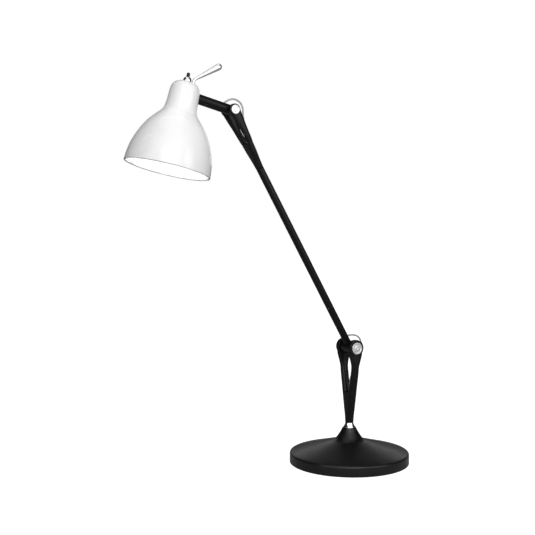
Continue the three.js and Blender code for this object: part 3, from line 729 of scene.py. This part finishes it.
# The flex over each elbow, (x, z) in millimetres from the elbow's axis, as in the CAD part.
LOWER_LOOP = [
    (-24.7, 42.3), (-18.8, 32.2), (-15, 26.8), (-10.4, 24.2), (-4.4, 23.6), (3, 24),
    (10.4, 23.4), (17, 21.2), (22.6, 17), (26.6, 10.6), (28.2, 2.6), (27, -8), (22.6, -21),
    (16.2, -35), (9.2, -48), (3.6, -60), (0.9, -72), (0, -86), (0, -102), (0, -118), (0, -134),
]
UPPER_LOOP = [
    (-43.6, 11.2), (-33, 8.5), (-25.4, 7.4), (-19, 9.2), (-13.2, 12.8), (-7.6, 16.6),
    (-2, 19.1), (4.2, 20.4), (10.6, 19.7), (16.6, 17.2), (21.6, 12.8), (24.7, 7.2),
    (25.8, 0.4), (26.2, -8), (27.8, -20.6), (30.2, -33.4), (32.3, -46), (33.6, -57),
    (37.2, -66), (43, -74.4), (50, -85.5), (57.5, -98.3),
]


def flex_channel(route, centre):
    return flex("channel", route, FLEX_R + FLEX_ROOM, 32, Matrix.Translation(centre))


def lower_barrel_and_main_tube():
    foot = MAIN_TUBE_FOOT
    made = barrel("lower_barrel_fine", LOWER_FORK, LOWER_BARREL_R)
    carved(made, rod("socket", MAIN_TUBE_R + GAP / 2, foot - GAP, 20, 64))
    made.data.transform(AT_MAIN)
    dress(made, "main_arm", "lower_barrel")
    length = (UPPER_ELBOW - LOWER_ELBOW).length / MM
    top = length + UPPER_FOOT - GAP
    inner = MAIN_TUBE_R - TUBE_WALL
    outline = [(inner, foot), (MAIN_TUBE_R, foot, 0.2), (MAIN_TUBE_R, top, 0.25), (inner, top)]
    tube = turned("main_tube_fine", eased(outline, 3), 96, AT_MAIN)
    carved(tube, flex_channel(LOWER_LOOP, LOWER_ELBOW))
    dress(tube, "main_arm", "main_tube")


def upper_barrel_and_short_tube():
    made = barrel("upper_barrel_fine", UPPER_FORK, UPPER_BARREL_R)
    inner = SHORT_TUBE_R - TUBE_WALL
    spigot = rod("spigot", inner - GAP, -30, -5.2, 64, ONTO_X)
    join = made.modifiers.new("join", "BOOLEAN")
    join.operation = "UNION"
    join.solver = "EXACT"
    join.object = spigot
    bake_modifiers(made)
    drop(spigot)
    made.data.transform(AT_SHORT)
    carved(made, flex_channel(UPPER_LOOP, UPPER_ELBOW))
    dress(made, "short_arm", "upper_barrel")
    end = (SHADE_CROSSING - UPPER_ELBOW).length / MM - SHORT_TUBE_END
    outline = [(inner, -end), (SHORT_TUBE_R, -end, 0.3), (SHORT_TUBE_R, 0), (inner, 0)]
    tube = turned("short_tube_fine", eased(outline, 3), 112, ONTO_X)
    carved(tube, rod("room", UPPER_BARREL_R + 0.25, -12, 12, 96, ONTO_Y))
    tube.data.transform(AT_SHORT)
    carved(tube, flex_channel(UPPER_LOOP, UPPER_ELBOW))
    dress(tube, "short_arm", "short_tube")


def flex_loop(name, route, centre, node):
    """Flex bridging an elbow, along its route from the fork into the outer arm; it is given no body."""
    piece = flex(name, route, FLEX_R, 28, Matrix.Translation(centre))
    dress(piece, None, node)
    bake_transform(piece)


# ---- Head -------------------------------------------------------------------------------


def over_rim(points):
    """(radius, height over the rim) points as local (radius, height) in the head's frame."""
    return [(p[0], p[1] - ARM_ABOVE_RIM, *p[2:]) for p in points]


# Outlines of the glass and the handle's middle line, with heights in millimetres over the rim.
SHADE_OUTSIDE = [
    (78.9, 2), (78.2, 12), (76.15, 26), (72.65, 40), (67.45, 54), (60.65, 68), (53.25, 80),
    (45.2, 90), (38.2, 98), (33.1, 104), (30.1, 111), (28.7, 121), (28, 132), (27.5, 143),
    (26.6, 149), (24.2, 154.7), (19.8, 159.2), (13.2, 162.1), (5.2, 163),
]
SHADE_INSIDE = [
    (75.9, 2), (75.3, 12), (73.2, 26), (69.6, 40), (64.5, 53), (57.8, 66), (50.1, 78),
    (42.2, 88), (34.9, 96.4), (30, 103.4), (27.4, 111), (25.9, 122), (25.2, 134), (24.6, 144),
    (23.6, 149.4), (21.3, 153.6), (16.9, 157.2), (10.8, 159.5), (5.2, 160),
]
HANDLE_AT = 12.4
HANDLE_STEM_R = 1.7
HANDLE_ROD_R = 2.6
HANDLE_TIP_R = 6.15
HANDLE_FOOT = 163.2
HANDLE_LINE = [
    (HANDLE_AT, HANDLE_FOOT), (HANDLE_AT, 166.6), (13.2, 170.3), (15.8, 173.9), (24, 181.3),
    (36, 192.1), (48, 203), (58.6, 212.6),
]
HANDLE_SWELLS_FROM = 0.17  # parts of the handle's length
HANDLE_ROUNDS_FROM = 0.9
BULB_R = 22.9
BULB_CENTRE = 66  # over the rim


def shade():
    """Opal glass bell with a ground rim, and holes for the short tube and the handle."""
    rim = [(78.85, 0.9), (78.4, 0.25), (77.45, 0), (76.5, 0.25), (76.0, 0.9)]
    outside = spline(SHADE_OUTSIDE, 5)
    inside = spline(SHADE_INSIDE, 5)
    outline = over_rim(list(reversed(rim)) + outside + list(reversed(inside)))
    glass = turned("shade_fine", outline, 200)
    at_handle = Matrix.Translation(Vector((HANDLE_AT * MM, 0, 0)))
    carved(
        glass,
        rod("side_hole", SHORT_TUBE_R + 0.8, 5, 60, 96, ONTO_X),
        rod("handle_hole", HANDLE_STEM_R + GAP, 8, 40, 32, at_handle),
    )
    glass.data.transform(AT_HEAD)
    dress(glass, "head", "shade")


def inner_cup():
    outline = over_rim([
        (5, 157.4), (19, 154.2, 3), (22.4, 148.4, 3), (23.4, 143.6), (23.4, 127, 0.5),
        (22, 127, 0.5), (22, 143.6), (21, 148, 3), (18.2, 152.6, 3), (5, 155.8),
    ])
    cup = turned("inner_cup_fine", eased(outline, 5), 112)
    carved(cup, rod("side_hole", SHORT_TUBE_R + GAP, 5, 60, 80, ONTO_X))
    cup.data.transform(AT_HEAD)
    dress(cup, "head", "inner_cup")


def lampholder():
    ribs = []
    for i in range(7):
        height = 103 + i * 2.6
        ribs += [(20.4, height, 0.4), (20.4, height + 1.3, 0.4),
                 (19.8, height + 1.5, 0.3), (19.8, height + 2.4, 0.3)]
    outline = over_rim([
        (14.6, 96, 0.5), (19.4, 96, 0.8), (20.2, 101, 0.6), *ribs, (20.3, 122, 1),
        (17, 126, 1.5), (5, 126), (5, 123), (14.6, 123),
    ])
    dress(turned("lampholder_fine", eased(outline, 3), 112, AT_HEAD), "head", "lampholder")


def holder_ring():
    outline = over_rim([
        (20.8, 124.6), (24.6, 124.6, 0.6), (24.6, 126.7, 0.6), (20.8, 126.7),
    ])
    dress(turned("holder_ring_fine", eased(outline, 3), 112, AT_HEAD), "head", "holder_ring")


def bulb():
    cap = [(0, 95)]
    for i in range(8):
        height = 96 + i * 3
        cap += [(12.4, height), (13.15, height + 0.9), (13.15, height + 1.6), (12.4, height + 2.6)]
    cap += [(9, 120.6), (0, 121)]
    dress(turned("bulb_cap_fine", over_rim(cap), 80, AT_HEAD), "head", "bulb_cap")
    ball = []
    for i in range(25):
        angle = math.radians(-90 + 132 * i / 24)
        ball.append((BULB_R * math.cos(angle), BULB_CENTRE + BULB_R * math.sin(angle)))
    ball[0] = (0, BULB_CENTRE - BULB_R)
    neck = spline([ball[-1], (14.2, 85), (12.9, 89), (12.3, 92.5), (12.2, 94.6)], 5)[1:]
    outline = over_rim(ball + neck + [(0, 94.6)])
    dress(turned("bulb_globe_fine", outline, 112, AT_HEAD), "head", "bulb_globe")


def switch():
    nut = over_rim([
        (4.9, 163.3), (8.05, 163.3, 0.3), (7.7, 167, 2.2), (6.3, 169.8, 1.6), (4.6, 171.2, 0.5),
        (3.6, 171.2, 0.2), (3.6, 168.6), (4.9, 168.6),
    ])
    dress(turned("switch_nut_fine", eased(nut, 6), 96, AT_HEAD), "head", "switch_nut")
    lever = [(0, -4), (2.3, -2.2, 1), (2.4, 1.5, 1), (1.6, 4), (1.6, 14.9), (0, 14.9)]
    made = turned("lever_rod_fine", eased(lever, 4, closed=False), 48, AT_LEVER)
    dress(made, "switch_lever", "lever_rod")
    tip = [
        (1.9, 9), (2.95, 9, 0.4), (3.05, 14.6, 1), (2.4, 16.5, 1.3), (0, 16.75), (0, 15.4),
        (1.9, 15.4),
    ]
    made = turned("lever_tip_fine", eased(tip, 5), 64, AT_LEVER)
    dress(made, "switch_lever", "lever_tip")


def aiming_handle():
    """Thin stem through the glass, then a rod that bends back and swells to a round tip."""
    points = [Vector((x, 0, h - ARM_ABOVE_RIM)) for x, h in spline(HANDLE_LINE, 14)]
    lengths = [0.0]
    for a, b in zip(points, points[1:]):
        lengths.append(lengths[-1] + (b - a).length)
    rings = []
    stem = ((150, HANDLE_STEM_R), (HANDLE_FOOT, HANDLE_STEM_R), (HANDLE_FOOT, HANDLE_ROD_R - 0.3))
    for height, radius in stem:
        centre = Vector((HANDLE_AT, 0, height - ARM_ABOVE_RIM))
        rings.append(ring_about(centre, UP, radius, 48))
    for i, point in enumerate(points):
        u = lengths[i] / lengths[-1]
        swell = (u - HANDLE_SWELLS_FROM) / (HANDLE_ROUNDS_FROM - HANDLE_SWELLS_FROM)
        end = max((u - HANDLE_ROUNDS_FROM) / (1 - HANDLE_ROUNDS_FROM), 0)
        radius = HANDLE_ROD_R + (HANDLE_TIP_R - HANDLE_ROD_R) * min(max(swell, 0), 1)
        radius *= math.sqrt(max(1 - end**2, 0.004))  # never quite 0, so that the tip closes
        tangent = points[min(i + 1, len(points) - 1)] - points[max(i - 1, 0)]
        lift = UP * 0.3 if i == 0 else Vector()
        rings.append(ring_about(point + lift, tangent.normalized(), radius, 48))
    dress(skin("aiming_handle_fine", rings, AT_HEAD), "head", "aiming_handle")


# ---- Studio -----------------------------------------------------------------------------

CAMERA_AT = (-1.110, -1.618, 0.5156)
CAMERA_DOWN = 3.578  # degrees under the horizon
CAMERA_TURN = -29.627  # degrees about Z from looking along +Y
CAMERA_LENS = 66.0  # millimetres, for a sensor 36 wide
CAMERA_GLOW = 0.95  # what the floor adds to its own brightness for the camera alone

# The light comes from the front, which is -Y. Each span is a pair of cosines from its middle.
FRONT_GLOW = (0.1, -0.95, 0.3)
GLOW_SPAN = (0, 0.85)
FRONT_PANEL = (-0.3, -0.9, 0.1)
PANEL_SPAN = (0.35, 0.6)
BEHIND = (0.03, 0.03, 0.03, 1)


def camera():
    data = bpy.data.cameras.new("camera")
    data.lens = CAMERA_LENS
    data.sensor_width = 36.0
    made = bpy.data.objects.new("camera", data)
    made.location = CAMERA_AT
    made.rotation_euler = (math.radians(90 - CAMERA_DOWN), 0, math.radians(CAMERA_TURN))
    bpy.context.scene.collection.objects.link(made)
    bpy.context.scene.camera = made


def floor():
    """Wide pale sheet. Only its camera side is bright, so it doesn't light the lamp from below."""
    bm = bmesh.new()
    half = 6.0
    corners = [(-half, -half), (half, -half), (half, half), (-half, half)]
    bm.faces.new([bm.verts.new((x, y, -0.0002)) for x, y in corners])
    made = object_from(bm, "floor")
    f = Finish("floor_paint")
    f.colour(f.noise(3, 2), (0.44, 0.44, 0.44), (0.48, 0.48, 0.48))
    f.rough(f.noise(8, 2), 0.8, 0.9)
    f.set(Specular_IOR_Level=0.1)
    glow = f.nodes.new("ShaderNodeEmission")
    glow.inputs["Strength"].default_value = CAMERA_GLOW
    both = f.nodes.new("ShaderNodeAddShader")
    choice = f.nodes.new("ShaderNodeMixShader")
    rays = f.nodes.new("ShaderNodeLightPath")
    output = f.nodes["Material Output"]
    f.links.new(f.shader.outputs["BSDF"], both.inputs[0])
    f.links.new(glow.outputs["Emission"], both.inputs[1])
    f.links.new(rays.outputs["Is Camera Ray"], choice.inputs["Fac"])
    f.links.new(f.shader.outputs["BSDF"], choice.inputs[1])
    f.links.new(both.outputs["Shader"], choice.inputs[2])
    f.links.new(choice.outputs["Shader"], output.inputs["Surface"])
    made.data.materials.append(f.material)


def softbox(name, location, target, width, height, power):
    data = bpy.data.lights.new(name, "AREA")
    data.shape = "RECTANGLE"
    data.size = width
    data.size_y = height
    data.energy = power
    made = bpy.data.objects.new(name, data)
    made.location = location
    aim = Vector(target) - Vector(location)
    made.rotation_euler = aim.to_track_quat("-Z", "Y").to_euler()
    made.visible_camera = False
    bpy.context.scene.collection.objects.link(made)


def sky(nodes, links, direction, toward, span, strength):
    """Background that rises over span from nearly black to white."""
    facing = nodes.new("ShaderNodeVectorMath")
    facing.operation = "DOT_PRODUCT"
    facing.inputs[1].default_value = Vector(toward).normalized()
    links.new(direction.outputs["Generated"], facing.inputs[0])
    ramp = nodes.new("ShaderNodeValToRGB")
    ramp.color_ramp.interpolation = "EASE"
    ramp.color_ramp.elements[0].position = span[0]
    ramp.color_ramp.elements[0].color = BEHIND
    ramp.color_ramp.elements[1].position = span[1]
    ramp.color_ramp.elements[1].color = (1, 1, 1, 1)
    background = nodes.new("ShaderNodeBackground")
    background.inputs["Strength"].default_value = strength
    links.new(facing.outputs["Value"], ramp.inputs["Fac"])
    links.new(ramp.outputs["Color"], background.inputs["Color"])
    return background.outputs["Background"]


def world_light():
    """White to the camera; to the lamp, a wide soft glow from the front and dark behind."""
    world = bpy.data.worlds.new("studio")
    bpy.context.scene.world = world
    world.use_nodes = True
    nodes, links = world.node_tree.nodes, world.node_tree.links
    nodes.clear()
    direction = nodes.new("ShaderNodeTexCoord")
    glow = sky(nodes, links, direction, FRONT_GLOW, GLOW_SPAN, 0.75)
    mirrored = sky(nodes, links, direction, FRONT_PANEL, PANEL_SPAN, 1.05)
    seen = nodes.new("ShaderNodeBackground")
    seen.inputs["Color"].default_value = (1, 1, 1, 1)
    rays = nodes.new("ShaderNodeLightPath")
    unseen = nodes.new("ShaderNodeMixShader")
    mix = nodes.new("ShaderNodeMixShader")
    output = nodes.new("ShaderNodeOutputWorld")
    links.new(rays.outputs["Is Glossy Ray"], unseen.inputs["Fac"])
    links.new(glow, unseen.inputs[1])
    links.new(mirrored, unseen.inputs[2])
    links.new(rays.outputs["Is Camera Ray"], mix.inputs["Fac"])
    links.new(unseen.outputs["Shader"], mix.inputs[1])
    links.new(seen.outputs["Background"], mix.inputs[2])
    links.new(mix.outputs["Shader"], output.inputs["Surface"])


def studio():
    bpy.context.scene.view_settings.view_transform = "Standard"
    world_light()
    middle = (-0.2, 0, 0.45)
    softbox("key", (-1.1, -2.4, 1.5), middle, 2.2, 2.0, 35)
    softbox("right", (1.1, -2.2, 1.0), middle, 0.9, 1.5, 8)
    softbox("left", (-2.6, -0.6, 1.0), middle, 1.2, 1.6, 7.5)
    softbox("top", (-0.2, 0.2, 2.4), middle, 1.4, 1.4, 7)
    softbox("back", (1.1, 1.9, 1.0), (0, 0, 0.1), 2.8, 0.7, 5)


# ---- Making -----------------------------------------------------------------------------

camera()
studio()
floor()
paint_cad_nodes()

base_cover()
foot_pad()
neck_collar()
cable_inlet()
fork("lower_fork_fine", LOWER_FORK, AT_LOWER, "lower_arm", "lower_fork")
elbow_caps("lower", LOWER_FORK, AT_LOWER, "lower_arm", FINISHES["cap_metal"])
elbow_inside("lower", LOWER_FORK, LOWER_BARREL_R, AT_LOWER, "lower_arm")
lower_barrel_and_main_tube()
fork("upper_fork_fine", UPPER_FORK, AT_UPPER, "main_arm", "upper_fork")
elbow_caps("upper", UPPER_FORK, AT_UPPER, "main_arm", UPPER_CAP_FINISH)
elbow_inside("upper", UPPER_FORK, UPPER_BARREL_R, AT_UPPER, "main_arm")
upper_barrel_and_short_tube()
flex_loop("cable_loop_lower_fine", LOWER_LOOP, LOWER_ELBOW,
          "cable_loop_lower")
flex_loop("cable_loop_upper_fine", UPPER_LOOP, UPPER_ELBOW,
          "cable_loop_upper")
shade()
inner_cup()
lampholder()
holder_ring()
bulb()
switch()
aiming_handle()
